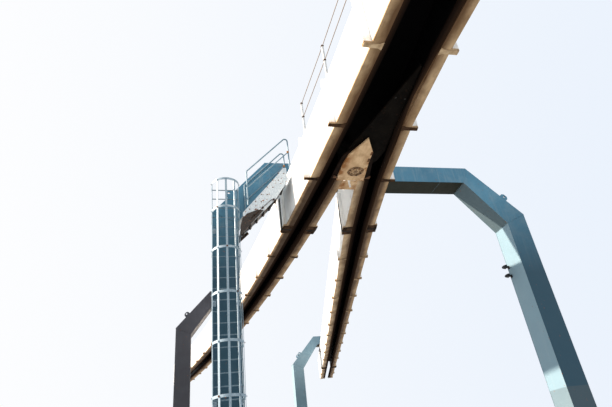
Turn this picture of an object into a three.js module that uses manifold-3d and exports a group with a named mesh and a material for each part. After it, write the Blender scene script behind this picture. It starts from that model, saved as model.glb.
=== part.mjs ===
// Elevated guideway junction of a suspended monorail, in millimetres, +Z up.
// The origin is the floor under the middle of the portal's left leg, +X runs along the
// portal's crossbeam and +Y along the guideway, from the single track to the two branches.
import * as THREE from 'three';
import { mergeVertices } from 'three/addons/utils/BufferGeometryUtils.js';
import Module from 'manifold-3d';

const wasm = await Module();
wasm.setup();

// Driving dimensions
const GAP = 0.3;                 // left between pieces that touch
const STEM_START = -14000;       // open end of the single track
const FORK = -2450;              // the two branches start here
const LEFT_END = 22000;
const RIGHT_END = 23500;
const JUNCTION = { x: 2649, y: -13000, slope: 0.0088 };   // where the two tracks part
const LEFT_RADIUS = 127900;
const RIGHT_RADIUS = 76000;
const RIGHT_ARC_LENGTH = 13970;  // then the right track runs straight

const UNDERSIDE = 7650;          // girder over the floor
const GIRDER_HEIGHT = 1250;
const HALF_WIDTH = 420;          // single girder, out to the web
const WIDE_RIGHT = 3560;         // right side of the wide turnout box
const WEB = 30;
const FLANGE_WIDTH = 205;
const FLANGE_THICKNESS = 40;
const LIP_THICKNESS = 12;        // a flange thins to this beside the slot
const SLOT_HALF = 100;
const RUNNING_THICKNESS = 35;
const ROOF_THICKNESS = 30;
const ROOF_OVERHANG = 50;
const RING_HALF = 50;            // half the width of a stiffening ring
const RING_OUT = 75;             // how far a ring stands out of a branch
const RING_OUT_WIDE = 150;       // and out of the turnout
const TWIN = { half: 95, spacing: 120, shift: 110 };   // the pair of wider rings at a support
const FORK_MARGIN = 40;          // extra width of the turnout just before the fork

const SECTION = { x: 660, y: 690 };      // portal and support legs
const BEAM_TOP = 9620;
const BEAM_BOTTOM = 9070;
const FOOT = { size: 1100, thickness: 40 };
const PORTAL_WIDTH = 9500;       // over both legs

const GIRDER_TOP = UNDERSIDE + GIRDER_HEIGHT;
const FLANGE_TOP = UNDERSIDE + FLANGE_THICKNESS;
const RUNNING_BOTTOM = FLANGE_TOP + GAP;
const RUNNING_TOP = RUNNING_BOTTOM + RUNNING_THICKNESS;
const ROOF_BOTTOM = GIRDER_TOP - ROOF_THICKNESS;

// Ring places along Y; twin marks the pairs that a support holds
const TURNOUT_RINGS = [-12500, -10500, -8500, -6500, -4450, FORK];
const LEFT_RINGS = [FORK, 1950, 3700, 5450, 7200, 8900, 12300, 14100, 15800, 17400, 18900, 20500];
const RIGHT_RINGS = [FORK, 2150, 4070, 5970, 7870, 9770, 11600, 13550, 15400, 17250, 21900];
const LEFT_SUPPORT = 10500;
const RIGHT_SUPPORT = 19650;
const twin = (y) => [y + TWIN.shift - TWIN.spacing, y + TWIN.shift + TWIN.spacing];
const inOrder = (rings) => [...rings].sort((a, b) => a - b);
const TWINS = [0, LEFT_SUPPORT, RIGHT_SUPPORT].flatMap(twin);
const halfOf = (ring) => (TWINS.includes(ring) ? TWIN.half : RING_HALF);

const finish = (color, roughness, metalness) =>
  new THREE.MeshStandardMaterial({ color, roughness, metalness });
const FINISH = {
  portal: () => finish(0x4a738a, 0.45, 0.1),
  support: () => finish(0x3c3e44, 0.5, 0.1),
  white: () => finish(0xf2f2ee, 0.5, 0),
  flange: () => finish(0xb29b7d, 0.75, 0),
  running: () => finish(0x301e12, 0.7, 0.3),
  tongue: () => finish(0x1e1b18, 0.6, 0.4),
  galvanised: () => finish(0x96b4c3, 0.45, 0.6),
  lamp: () => finish(0x101113, 0.5, 0),
};

const model = new THREE.Group();

function add(name, geometry, material) {
  const mesh = new THREE.Mesh(geometry, material());
  mesh.name = name;
  model.add(mesh);
  return mesh;
}

// Plain shapes
function outline(points) {
  const corners = points.map(([a, b]) => new THREE.Vector2(a, b));
  if (THREE.ShapeUtils.isClockWise(corners)) corners.reverse();
  return new THREE.Shape(corners);
}

// A plan outline, raised from one height to another
function plate(points, bottom, top, holes = []) {
  const shape = outline(points);
  shape.holes.push(...holes);
  const geometry = new THREE.ExtrudeGeometry(shape, {
    depth: top - bottom, bevelEnabled: false, curveSegments: 24,
  });
  return geometry.translate(0, 0, bottom);
}

// An outline drawn in X and Z, from one depth in Y to another
function profile(points, front, back, holes = []) {
  const shape = outline(points);
  shape.holes.push(...holes);
  const geometry = new THREE.ExtrudeGeometry(shape, {
    depth: back - front, bevelEnabled: false, curveSegments: 12,
  });
  return geometry.rotateX(Math.PI / 2).translate(0, back, 0);
}

function box([x0, x1], [y0, y1], [z0, z1]) {
  const geometry = new THREE.BoxGeometry(x1 - x0, y1 - y0, z1 - z0);
  return geometry.translate((x0 + x1) / 2, (y0 + y1) / 2, (z0 + z1) / 2);
}

// A round bar along a polyline of [x, y, z] points
function bar(points, radius, sides = 6) {
  const path = new THREE.CurvePath();
  const corners = points.map((p) => new THREE.Vector3(...p));
  for (let i = 1; i < corners.length; i += 1) {
    path.add(new THREE.LineCurve3(corners[i - 1], corners[i]));
  }
  const ring = new THREE.Shape();
  for (let i = 0; i < sides; i += 1) {
    const turn = (2 * Math.PI * i) / sides;
    const at = [radius * Math.cos(turn), radius * Math.sin(turn)];
    if (i === 0) ring.moveTo(...at);
    else ring.lineTo(...at);
  }
  return new THREE.ExtrudeGeometry(ring, {
    extrudePath: path, steps: corners.length - 1, bevelEnabled: false,
  });
}

// One straight bar for each stretch of a polyline
function bars(points, radius, sides = 6) {
  return points.slice(1).map((point, i) => bar([points[i], point], radius, sides));
}

// Joining and cutting
function toSolid(geometry) {
  const bare = geometry.clone();
  bare.deleteAttribute('normal');
  bare.deleteAttribute('uv');
  const merged = mergeVertices(bare, 0.01);
  return new wasm.Manifold(new wasm.Mesh({
    numProp: 3,
    vertProperties: new Float32Array(merged.attributes.position.array),
    triVerts: new Uint32Array(merged.index.array),
  }));
}

function toGeometry(solid) {
  const mesh = solid.getMesh();
  const geometry = new THREE.BufferGeometry();
  geometry.setAttribute('position', new THREE.BufferAttribute(new Float32Array(mesh.vertProperties), 3));
  geometry.setIndex(new THREE.BufferAttribute(new Uint32Array(mesh.triVerts), 1));
  geometry.computeVertexNormals();
  return geometry;
}

function join(geometries) {
  return toGeometry(geometries.map(toSolid).reduce((all, next) => all.add(next)));
}

// Track centre lines
const leftX = (y) => {
  const run = y - JUNCTION.y;
  return JUNCTION.x + JUNCTION.slope * run - (run * run) / (2 * LEFT_RADIUS);
};
const leftSlope = (y) => JUNCTION.slope - (y - JUNCTION.y) / LEFT_RADIUS;

const rightX = (y) => {
  const run = y - JUNCTION.y;
  const bent = Math.min(run, RIGHT_ARC_LENGTH);
  const endSlope = JUNCTION.slope + bent / RIGHT_RADIUS;
  return JUNCTION.x + JUNCTION.slope * bent + (bent * bent) / (2 * RIGHT_RADIUS) + endSlope * (run - bent);
};
const rightSlope = (y) => JUNCTION.slope + Math.min(y - JUNCTION.y, RIGHT_ARC_LENGTH) / RIGHT_RADIUS;

// Rings stand square to the track, except at the fork, where both branches share one plane
const squareness = (y) => THREE.MathUtils.clamp((y - FORK) / -FORK, 0, 1);
const branchPoint = (centre, slope) => (y, side) =>
  [centre(y) + side, y - slope(y) * squareness(y) * side];
const onLeft = branchPoint(leftX, leftSlope);
const onRight = branchPoint(rightX, rightSlope);

// The turnout's right side leaves the single girder, runs straight, then follows the right track
const turnoutRight = (y) => {
  const single = leftX(y) + HALF_WIDTH;
  const widening = THREE.MathUtils.clamp((y + 13000) / 2500, 0, 1);
  const margin = FORK_MARGIN * THREE.MathUtils.clamp((FORK - y) / 1500, 0, 1);
  return Math.max(THREE.MathUtils.lerp(single, WIDE_RIGHT, widening), rightX(y) + HALF_WIDTH + margin);
};

// A strip of plate in plan. outer(y, out) and inner(y) give plan points; rings add square tabs.
function strip({ outer, inner, span: [start, end], rings, tab = 0, bottom, top }) {
  const along = [start, ...rings.filter((y) => y > start && y < end), end];
  const edge = [];
  for (const y of along) {
    const from = Math.max(y - halfOf(y), start);
    const to = Math.min(y + halfOf(y), end);
    if (tab === 0 || !rings.includes(y)) {
      edge.push(outer(y, 0));
      continue;
    }
    if (from > start) edge.push(outer(from, 0));
    edge.push(outer(from, tab), outer(to, tab));
    if (to < end) edge.push(outer(to, 0));
  }
  const back = [...along].reverse().map((y) => inner(y));
  return plate([...edge, ...back], bottom, top);
}

// One side of a girder: flange, running plate and web. at(y, inwards) gives plan points,
// where inwards is the distance from the web's outer face towards the slot.
function girderSide(name, side, at, span, rings, tab) {
  const tabbed = (width, bottom, top) => strip({
    outer: (y, out) => at(y, -out), inner: (y) => at(y, width), span, rings, tab, bottom, top,
  });
  const plain = (from, to, bottom, top) => strip({
    outer: (y) => at(y, from), inner: (y) => at(y, to), span, rings, bottom, top,
  });
  const lipEdge = HALF_WIDTH - SLOT_HALF;
  add(`${name}_${side}_flange`, join([
    tabbed(FLANGE_WIDTH, UNDERSIDE, FLANGE_TOP),
    plain(WEB, lipEdge, FLANGE_TOP - LIP_THICKNESS, FLANGE_TOP),
  ]), FINISH.flange);
  add(`${name}_${side}_web`, tabbed(WEB, FLANGE_TOP + GAP, ROOF_BOTTOM - GAP), FINISH.white);
  add(`${name}_${side}_running_plate`, plain(WEB + 5, lipEdge, RUNNING_BOTTOM, RUNNING_TOP),
    FINISH.running);
}

function girderRoof(name, left, right, span, rings) {
  add(`${name}_roof`, strip({
    outer: (y) => left(y, -ROOF_OVERHANG),
    inner: (y) => right(y, -ROOF_OVERHANG),
    span, rings, bottom: ROOF_BOTTOM, top: GIRDER_TOP,
  }), FINISH.white);
}

const GIRDERS = [
  {
    name: 'turnout', span: [STEM_START, FORK], rings: inOrder([JUNCTION.y, ...TURNOUT_RINGS]),
    tab: RING_OUT_WIDE,
    left: (y, inwards) => [leftX(y) - HALF_WIDTH + inwards, y],
    right: (y, inwards) => [turnoutRight(y) - inwards, y],
  },
  {
    name: 'left_branch', span: [FORK + GAP, LEFT_END],
    rings: inOrder([...LEFT_RINGS, ...twin(0), ...twin(LEFT_SUPPORT)]), tab: RING_OUT,
    left: (y, inwards) => onLeft(y, -HALF_WIDTH + inwards),
    right: (y, inwards) => onLeft(y, HALF_WIDTH - inwards),
  },
  {
    name: 'right_branch', span: [FORK + GAP, RIGHT_END],
    rings: inOrder([...RIGHT_RINGS, ...twin(0), ...twin(RIGHT_SUPPORT)]), tab: RING_OUT,
    left: (y, inwards) => onRight(y, -HALF_WIDTH + inwards),
    right: (y, inwards) => onRight(y, HALF_WIDTH - inwards),
  },
];

for (const { name, span, rings, tab, left, right } of GIRDERS) {
  girderSide(name, 'left', left, span, rings, tab);
  girderSide(name, 'right', right, span, rings, tab);
  girderRoof(name, left, right, span, rings);
}

// End frames: a plate with the girder's hollow and slot cut out, where the next length bolts on
function endFrame(name, point, angle, outwards) {
  const half = HALF_WIDTH + ROOF_OVERHANG;
  const clear = HALF_WIDTH - WEB - 20;
  const top = GIRDER_TOP + 60;
  const bottom = UNDERSIDE - 20;
  const lip = SLOT_HALF;
  const points = [
    [-half, bottom], [-lip, bottom], [-lip, RUNNING_TOP], [-clear, RUNNING_TOP],
    [-clear, ROOF_BOTTOM - 60], [clear, ROOF_BOTTOM - 60], [clear, RUNNING_TOP],
    [lip, RUNNING_TOP], [lip, bottom], [half, bottom], [half, top], [-half, top],
  ];
  const thickness = 30;
  const geometry = outwards < 0
    ? profile(points, -GAP - thickness, -GAP)
    : profile(points, GAP, GAP + thickness);
  const mesh = add(name, geometry, FINISH.white);
  mesh.position.set(point[0], point[1], 0);
  mesh.rotation.z = angle;
}
endFrame('stem_end_frame', [leftX(STEM_START), STEM_START], 0, -1);
endFrame('left_end_frame', [leftX(LEFT_END), LEFT_END], -Math.atan(leftSlope(LEFT_END)), 1);
endFrame('right_end_frame', [rightX(RIGHT_END), RIGHT_END], -Math.atan(rightSlope(RIGHT_END)), 1);

// Frog: the bottom plate between the branches, its running plate, and the tongue's bearing
const PIVOT = { x: 2916, y: -2838, radius: 195 };
const FROG_END = FORK - GAP;
const circle = (x, y, radius) => {
  const path = new THREE.Path();
  path.absarc(x, y, radius, 0, 2 * Math.PI, true);
  return path;
};
const FROG_TIP = [2860, -4060];
const FROG_KINK = [3100, -3600];
add('frog_plate', plate([
  FROG_TIP, FROG_KINK, [3130, -3200], [rightX(FROG_END) - 240, FROG_END],
  [leftX(FROG_END) + 240, FROG_END], [2540, -3080], [2580, -3450],
], UNDERSIDE, FLANGE_TOP, [circle(PIVOT.x, PIVOT.y, PIVOT.radius)]), FINISH.flange);
add('frog_running_plate', plate([
  [2860, -3980], [3150, -3540], [3240, -3150], [rightX(FROG_END) - SLOT_HALF, FROG_END],
  [leftX(FROG_END) + SLOT_HALF, FROG_END], [2440, -3080], [2480, -3400],
], RUNNING_BOTTOM, RUNNING_TOP), FINISH.running);
add('pivot_bearing', join([
  plate(new THREE.Path().absarc(PIVOT.x, PIVOT.y, PIVOT.radius - 12, 0, 2 * Math.PI).getPoints(24)
    .slice(0, -1).map((p) => [p.x, p.y]), FLANGE_TOP - 20, FLANGE_TOP),
  plate(new THREE.Path().absarc(PIVOT.x, PIVOT.y, 90, 0, 2 * Math.PI).getPoints(16)
    .slice(0, -1).map((p) => [p.x, p.y]), FLANGE_TOP - 45, FLANGE_TOP - 10),
]), FINISH.running);
add('frog_end_plate', box(
  [leftX(FORK) + HALF_WIDTH + RING_OUT + 5, rightX(FORK) - HALF_WIDTH - RING_OUT - 5],
  [FORK + GAP, FORK + 60], [UNDERSIDE, ROOF_BOTTOM - GAP],
), FINISH.white);

// Switch tongue: a spear-shaped plate over the running plates, turning on the frog's bearing
const TONGUE = { bottom: RUNNING_TOP + 10, thickness: 40, rest: THREE.MathUtils.degToRad(5.5) };
// columns: distance ahead of the pivot, half width
const TONGUE_PROFILE = [[3250, 15], [2290, 175], [1400, 315], [750, 430], [400, 400], [0, 210], [-150, 120]];
const tongueSide = (sign) => TONGUE_PROFILE.map(([ahead, half]) => [sign * half, -ahead]);
const tonguePoints = [...tongueSide(1), ...tongueSide(-1).reverse()];
const tongue = add('switch_tongue', plate(tonguePoints, 0, TONGUE.thickness), FINISH.tongue);
tongue.position.set(PIVOT.x, PIVOT.y, TONGUE.bottom);
tongue.rotation.z = TONGUE.rest;

// Portal and the two inverted-L supports. Outlines are drawn in X and Z.
const KNEE = {
  outerLow: [0, 7940], outerHigh: [1510, BEAM_TOP],       // measured from the leg's outer face
  innerLow: [660, 7630], innerHigh: [1720, BEAM_BOTTOM],
};
const LUG = { along: 180, height: 150, thickness: 40, hole: 35, width: 240 };

// Lifting lugs stand out of the knee's sloping face, one at the front and one at the back
function lugs(mirror, origin, front, back) {
  const [x0, z0] = KNEE.outerLow;
  const [x1, z1] = KNEE.outerHigh;
  const along = new THREE.Vector2(x1 - x0, z1 - z0).normalize();
  const out = new THREE.Vector2(-along.y, along.x);
  const at = (t, h) => {
    const x = x0 + (x1 - x0) * 0.34 + along.x * t + out.x * h;
    const z = z0 + (z1 - z0) * 0.34 + along.y * t + out.y * h;
    return [origin + mirror * x, z];
  };
  const half = LUG.width / 2;
  const shape = [at(-half, -20), at(half, -20), at(half, LUG.height * 0.6), at(half * 0.5, LUG.height),
    at(-half * 0.5, LUG.height), at(-half, LUG.height * 0.6)];
  const hole = circle(...at(0, LUG.height * 0.55), LUG.hole);
  return [[front, front + LUG.thickness], [back - LUG.thickness, back]]
    .map(([y0, y1]) => profile(shape, y0, y1, [hole]));
}

// One leg with its knee; mirror is 1 for a leg on the left and -1 for one on the right
function legAndKnee(name, mirror, outerFace, [front, back], material) {
  const at = ([x, z]) => [outerFace + mirror * x, z];
  const centre = outerFace + (mirror * SECTION.x) / 2;
  const middle = (front + back) / 2;
  const size = FOOT.size / 2;
  add(`${name}_foot_plate`, box([centre - size, centre + size], [middle - size, middle + size],
    [0, FOOT.thickness]), material);
  const bottom = FOOT.thickness + GAP;
  add(`${name}_leg`, profile([at([0, bottom]), at([SECTION.x, bottom]), at(KNEE.innerLow), at(KNEE.outerLow)],
    front, back), material);
  const [ix, iz] = KNEE.innerLow;
  const [hx, hz] = KNEE.innerHigh;
  const knee = [
    at([0, KNEE.outerLow[1] + GAP]), at([ix, iz + GAP]), at([hx - GAP, hz]),
    at([KNEE.outerHigh[0] - GAP, BEAM_TOP]),
  ];
  add(`${name}_knee`, join([profile(knee, front, back), ...lugs(mirror, outerFace, front, back)]), material);
}

function crossbeam(name, outerFace, end, endIsKnee, [front, back], material) {
  const lowStart = outerFace + KNEE.innerHigh[0];
  const highStart = outerFace + KNEE.outerHigh[0];
  const lowEnd = endIsKnee ? end - KNEE.innerHigh[0] : end;
  const highEnd = endIsKnee ? end - KNEE.outerHigh[0] : end;
  add(name, profile([[lowStart, BEAM_BOTTOM], [lowEnd, BEAM_BOTTOM], [highEnd, BEAM_TOP],
    [highStart, BEAM_TOP]], front, back), material);
}

const LEFT_FACE = -SECTION.x / 2;
const MAIN_DEPTH = [-SECTION.y / 2, SECTION.y / 2];
legAndKnee('portal_left', 1, LEFT_FACE, MAIN_DEPTH, FINISH.portal);
legAndKnee('portal_right', -1, LEFT_FACE + PORTAL_WIDTH, MAIN_DEPTH, FINISH.portal);
crossbeam('portal_crossbeam', LEFT_FACE, LEFT_FACE + PORTAL_WIDTH, true, MAIN_DEPTH, FINISH.portal);

// columns: name, outer face X, middle Y, free end X, finish
const BRACKETS = [
  ['left_support', -1690, LEFT_SUPPORT, 1450, FINISH.support],
  ['right_support', 5230, RIGHT_SUPPORT, 8300, FINISH.portal],
];
for (const [name, face, middle, end, material] of BRACKETS) {
  const depth = [middle - SECTION.y / 2, middle + SECTION.y / 2];
  legAndKnee(name, 1, face, depth, material);
  crossbeam(`${name}_arm`, face, end, false, depth, material);
}

// Hangers between a crossbeam and a girder's roof
function hanger(name, x, y, angle) {
  const low = GIRDER_TOP + GAP;
  const high = BEAM_BOTTOM - GAP;
  const mesh = add(name, join([
    box([-300, 300], [-230, 230], [low, low + 30]),
    box([-200, 200], [-120, 120], [low + 10, high - 10]),
    box([-300, 300], [-230, 230], [high - 30, high]),
  ]), FINISH.portal);
  mesh.position.set(x, y, 0);
  mesh.rotation.z = angle;
}
hanger('portal_left_hanger', leftX(0), 0, -Math.atan(leftSlope(0)));
hanger('portal_right_hanger', rightX(0), 0, -Math.atan(rightSlope(0)));
hanger('left_support_hanger', leftX(LEFT_SUPPORT), LEFT_SUPPORT, -Math.atan(leftSlope(LEFT_SUPPORT)));
hanger('right_support_hanger', rightX(RIGHT_SUPPORT), RIGHT_SUPPORT, -Math.atan(rightSlope(RIGHT_SUPPORT)));

// Caged ladder on the front of the portal's left leg
const LADDER = { plane: -555, half: 345, stile: [20, 60], bottom: 250, top: 8560, pitch: 280, rung: 14 };
function ladder() {
  const pieces = [];
  const depth = [LADDER.plane - LADDER.stile[1] / 2, LADDER.plane + LADDER.stile[1] / 2];
  const inner = LADDER.half - LADDER.stile[0];
  for (const side of [[-LADDER.half, -inner], [inner, LADDER.half]]) {
    pieces.push(box(side, depth, [LADDER.bottom, LADDER.top]));
    for (const z of [900, 3140, 5380, 7340]) {
      pieces.push(box(side, [LADDER.plane, -SECTION.y / 2 - GAP], [z, z + 60]));
    }
  }
  const count = Math.floor((LADDER.top - LADDER.bottom - 80) / LADDER.pitch);
  for (let i = 0; i <= count; i += 1) {
    const z = LADDER.top - 50 - i * LADDER.pitch;
    pieces.push(...bars([[-inner - 8, LADDER.plane, z], [inner + 8, LADDER.plane, z]], LADDER.rung));
  }
  return join(pieces);
}
add('ladder', ladder(), FINISH.galvanised);

const CAGE = {
  radius: 354, thickness: 9, band: 60, centre: -850, open: -580,
  hoops: [2200, 3190, 4310, 5420, 6540, 7660, 8480],
  straps: [-85, -39, 0, 39, 85], strapWidth: 50,
};
function cage() {
  const pieces = [];
  const inner = CAGE.radius - CAGE.thickness + 0.6;
  const arc = (radius) => new THREE.Path().absarc(0, CAGE.centre, radius, 0, -Math.PI, true)
    .getPoints(12).map((p) => [p.x, p.y]);
  const hoop = [[CAGE.radius, CAGE.open], ...arc(CAGE.radius), [-CAGE.radius, CAGE.open],
    [-inner, CAGE.open], ...arc(inner).reverse(), [inner, CAGE.open]];
  for (const z of CAGE.hoops) {
    pieces.push(plate(hoop, z - CAGE.band / 2, z + CAGE.band / 2));
  }
  const low = CAGE.hoops[0] - CAGE.band / 2;
  const high = CAGE.hoops.at(-1) + CAGE.band / 2;
  for (const degrees of CAGE.straps) {
    const turn = THREE.MathUtils.degToRad(degrees);
    const strap = box([-CAGE.strapWidth / 2, CAGE.strapWidth / 2],
      [-CAGE.radius + 4, -CAGE.radius + 16], [low, high]);
    pieces.push(strap.rotateZ(turn).translate(0, CAGE.centre, 0));
  }
  return join(pieces);
}
add('ladder_cage', cage(), FINISH.galvanised);

const WALKWAY = {
  along: [-6500, -4450, -2450, -400], inset: 45, width: 560, top: GIRDER_TOP + GAP + 45,
};

// Inclined stair from the ladder's head to the walkway on the roof
const STAIR = { near: -1050, far: -400, plate: 12, treads: 7 };
const STRINGER = [[420, 7160], [1240, 8030], [1650, 8650], [1650, 8960], [1560, 8960], [1400, 8730],
  [550, 7700], [420, 7540]];
function stair() {
  const pieces = [
    profile(STRINGER, STAIR.near, STAIR.near + STAIR.plate),
    profile(STRINGER, STAIR.far - STAIR.plate, STAIR.far),
  ];
  const [start, end] = [[500, 7430], [1490, 8790]];
  for (let i = 0; i < STAIR.treads; i += 1) {
    const t = i / (STAIR.treads - 1);
    const x = THREE.MathUtils.lerp(start[0], end[0], t);
    const z = THREE.MathUtils.lerp(start[1], end[1], t);
    pieces.push(box([x - 60, x + 110], [STAIR.near + 4, STAIR.far - 4], [z - 15, z + 15]));
  }
  return join(pieces);
}
add('stair_flight', stair(), FINISH.galvanised);

// Stair handrails: a post, a sloping rail, a bend, and a post down to the roof, with a knee rail
function handrail(y, shift) {
  const low = [556 + shift, 7760];
  const turn = [556 + shift, 8800];
  const high = [1640 + shift, 9940];
  const bend = [1750 + shift, 9860];
  const end = [1750 + shift, WALKWAY.top + GAP];
  const at = ([x, z]) => [x, y, z];
  const knee = [[556 + shift, 8280], [1735 + shift, 9480]];
  const joints = [turn, high, bend];
  return join([
    ...bars([low, turn, high, bend, end].map(at), 19, 8),
    ...bars(knee.map(at), 15, 8),
    ...joints.map(([x, z]) => new THREE.IcosahedronGeometry(22, 1).translate(x, y, z)),
  ]);
}
add('stair_rail_near', handrail(STAIR.near - 19.5, 0), FINISH.galvanised);
add('stair_rail_far', handrail(STAIR.far + 19.5, 0), FINISH.galvanised);

// Walkway grating on the turnout's roof, along its left edge
const walkwaySide = (inwards) => WALKWAY.along.map((y) => [leftX(y) - HALF_WIDTH + inwards, y]);
add('roof_walkway', plate(
  [...walkwaySide(WALKWAY.inset), ...walkwaySide(WALKWAY.inset + WALKWAY.width).reverse()],
  GIRDER_TOP + GAP, WALKWAY.top,
), FINISH.galvanised);

// Safety rail on the roof's left edge: posts at the rings and two taut cables
const RAIL = { inset: 10, height: 1050, middle: 600, post: 22, cable: 8 };
const RAIL_POSTS = [-13900, -12500, -10500, -8500, -6500, -4450, -2550];
function safetyRail() {
  const low = GIRDER_TOP + GAP;
  const at = (y, height) => [leftX(y) - HALF_WIDTH + RAIL.inset, y, low + height];
  const pieces = RAIL_POSTS.map((y) => {
    const [x, , z] = at(y, 0);
    return box([x - RAIL.post, x + RAIL.post], [y - RAIL.post, y + RAIL.post], [z, z + RAIL.height + 20]);
  });
  for (const height of [RAIL.middle, RAIL.height]) {
    pieces.push(...bars(RAIL_POSTS.map((y) => at(y, height)), RAIL.cable));
  }
  return join(pieces);
}
add('safety_rail', safetyRail(), FINISH.galvanised);

// Two small floodlights on the inner face of the portal's right leg
const LAMP_FACE = LEFT_FACE + PORTAL_WIDTH - SECTION.x - GAP;
for (const [name, z] of [['leg_lamp_upper', 6430], ['leg_lamp_lower', 6150]]) {
  add(name, join([
    box([LAMP_FACE - 110, LAMP_FACE], [270, 310], [z - 20, z + 20]),
    box([LAMP_FACE - 240, LAMP_FACE - 90], [180, 330], [z - 55, z + 55]),
  ]), FINISH.lamp);
}

export default model;
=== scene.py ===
# %% [markdown]
# # A suspended monorail turnout
# The CAD model brings every load-bearing piece at its true size. This lesson adds what a welder
# and a painter leave behind: straps under the rings, bolts, seams, gratings, bent rails, coats
# of paint, dirt and rust. The first step loads the imported model.

import math
from itertools import product

import bmesh
import bpy
from mathutils import Matrix, Quaternion, Vector


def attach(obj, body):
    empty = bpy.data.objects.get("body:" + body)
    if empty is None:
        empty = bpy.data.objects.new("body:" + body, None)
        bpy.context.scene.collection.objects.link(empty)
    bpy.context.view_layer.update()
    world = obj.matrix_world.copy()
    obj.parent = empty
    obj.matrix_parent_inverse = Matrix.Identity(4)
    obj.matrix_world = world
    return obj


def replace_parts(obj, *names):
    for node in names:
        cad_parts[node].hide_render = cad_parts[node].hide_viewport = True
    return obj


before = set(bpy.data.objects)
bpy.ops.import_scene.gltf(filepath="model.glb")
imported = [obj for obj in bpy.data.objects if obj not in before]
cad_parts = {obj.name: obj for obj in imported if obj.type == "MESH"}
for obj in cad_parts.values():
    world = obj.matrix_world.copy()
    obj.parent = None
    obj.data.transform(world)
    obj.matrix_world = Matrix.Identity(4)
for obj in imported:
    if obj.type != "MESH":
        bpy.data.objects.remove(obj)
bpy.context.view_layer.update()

# %% [markdown]
# ## The camera
# A photograph fixes where its camera stood. Upright edges, level beams and evenly spaced rungs
# give the lens, tilt and roll, so the camera's axes are written down as measured: at eye
# height, far to the front, looking up along the girder.

# %% Stand the camera
CAMERA_AT = Vector((-0.596, -11.495, 1.6))
CAMERA_RIGHT = Vector((0.97637, -0.19048, -0.1021))
CAMERA_UP = Vector((-0.00962, -0.51028, 0.8600))


def add_object(name, data):
    made = bpy.data.objects.new(name, data)
    bpy.context.scene.collection.objects.link(made)
    return made


camera_data = bpy.data.cameras.new("eye_level_camera")
camera_data.sensor_width = 36
camera_data.lens = 27.655
camera_data.clip_end = 400
camera = add_object("eye_level_camera", camera_data)
axes = Matrix((CAMERA_RIGHT, CAMERA_UP, CAMERA_RIGHT.cross(CAMERA_UP))).transposed()
camera.matrix_world = Matrix.Translation(CAMERA_AT) @ axes.to_4x4()
bpy.context.scene.camera = camera
print("camera looks along", tuple(round(v, 3) for v in -axes.col[2]))

# %% [markdown]
# ## Light
# A pale overcast sky is the softest studio there is. Its left side is a little brighter, as from
# a large white screen. One low, warm key light from the left whitens the girders' sides and
# leaves the legs' fronts in their own colour. The pale floor lights the undersides.

# %% Light the scene
KEY_HEADING = Vector((1.0, -0.16, -0.62))
MIDDLE_SKY = (0.985, 0.99, 1.0)
SKY_SIDES = [
    # X of the direction, from and to, and the colour there: right, then left
    (-0.4, 0.8, (0.82, 0.885, 0.98)),
    (-0.37, -0.95, (1.15, 1.3, 1.42)),
]

bpy.context.scene.view_settings.view_transform = "Standard"
world = bpy.data.worlds.new("pale_sky")
bpy.context.scene.world = world
world.use_nodes = True
sky = world.node_tree


def add_node(tree, kind, inputs, output, **settings):
    """One node with its inputs set, or linked from other nodes. Returns one of its outputs."""
    node = tree.nodes.new("ShaderNode" + kind)
    for name, value in settings.items():
        setattr(node, name, value)
    for name, value in inputs.items():
        socket = node.inputs[name]
        if isinstance(value, bpy.types.NodeSocket):
            tree.links.new(value, socket)
        else:
            socket.default_value = (*value, 1) if socket.type == "RGBA" else value
    return node.outputs[output]


def ramp(tree, value, low, high):
    """0 below low, 1 above high, and even between."""
    return add_node(tree, "MapRange", {"From Min": low, "From Max": high, "Value": value}, "Result")


def over(tree, amount, below, above):
    """One colour laid over another, as thickly as amount says."""
    return add_node(tree, "Mix", {0: amount, 6: below, 7: above}, 2, data_type="RGBA")


heading = add_node(sky, "TexCoord", {}, "Generated")
side = add_node(sky, "SeparateXYZ", {0: heading}, "X")
tone = MIDDLE_SKY
for start, end, side_colour in SKY_SIDES:
    tone = over(sky, ramp(sky, side, start, end), tone, side_colour)
sky.links.new(tone, sky.nodes["Background"].inputs["Color"])

key_data = bpy.data.lights.new("key", "SUN")
key_data.energy = 10.0
key_data.angle = 0.02
key_data.color = (1.0, 0.83, 0.68)
key = add_object("key", key_data)
key.rotation_mode = "QUATERNION"
key.rotation_quaternion = KEY_HEADING.to_track_quat("-Z", "Y")
print("key light of strength", key_data.energy)

# %% [markdown]
# ## Where the tracks run
# The single track parts at one point, and each branch bends away on its own radius. Both centre
# lines are short formulas in metres, as in the CAD model. A girder is described by the plan
# place of its two outer faces at any distance along it.

# %% Track lines
JUNCTION_X, JUNCTION_Y, JUNCTION_SLOPE = 2.649, -13.0, 0.0088
# Radius, negative to the left, and the distance after which a branch runs straight.
LEFT_LINE, RIGHT_LINE = (-127.9, 99), (76.0, 13.97)
FORK = -2.45
HALF_WIDTH = 0.42
TURNOUT_RIGHT_FACE = 3.56
WIDENING, SWELLING, SWELL = 2.5, 1.5, 0.04
UNDERSIDE, FLANGE_TOP, ROOF_TOP = 7.65, 7.69, 8.90


def centre_line(radius, arc):
    """The X and the slope of a branch, as two functions of Y."""
    def slope_of(y):
        return JUNCTION_SLOPE + min(y - JUNCTION_Y, arc) / radius

    def x_of(y):
        run = y - JUNCTION_Y
        bent = min(run, arc)
        curve = JUNCTION_X + JUNCTION_SLOPE * bent + bent * bent / (2 * radius)
        return curve + slope_of(y) * (run - bent)
    return x_of, slope_of


left_x, left_slope = centre_line(*LEFT_LINE)
right_x, right_slope = centre_line(*RIGHT_LINE)


def clamp(value):
    return min(max(value, 0.0), 1.0)


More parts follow.
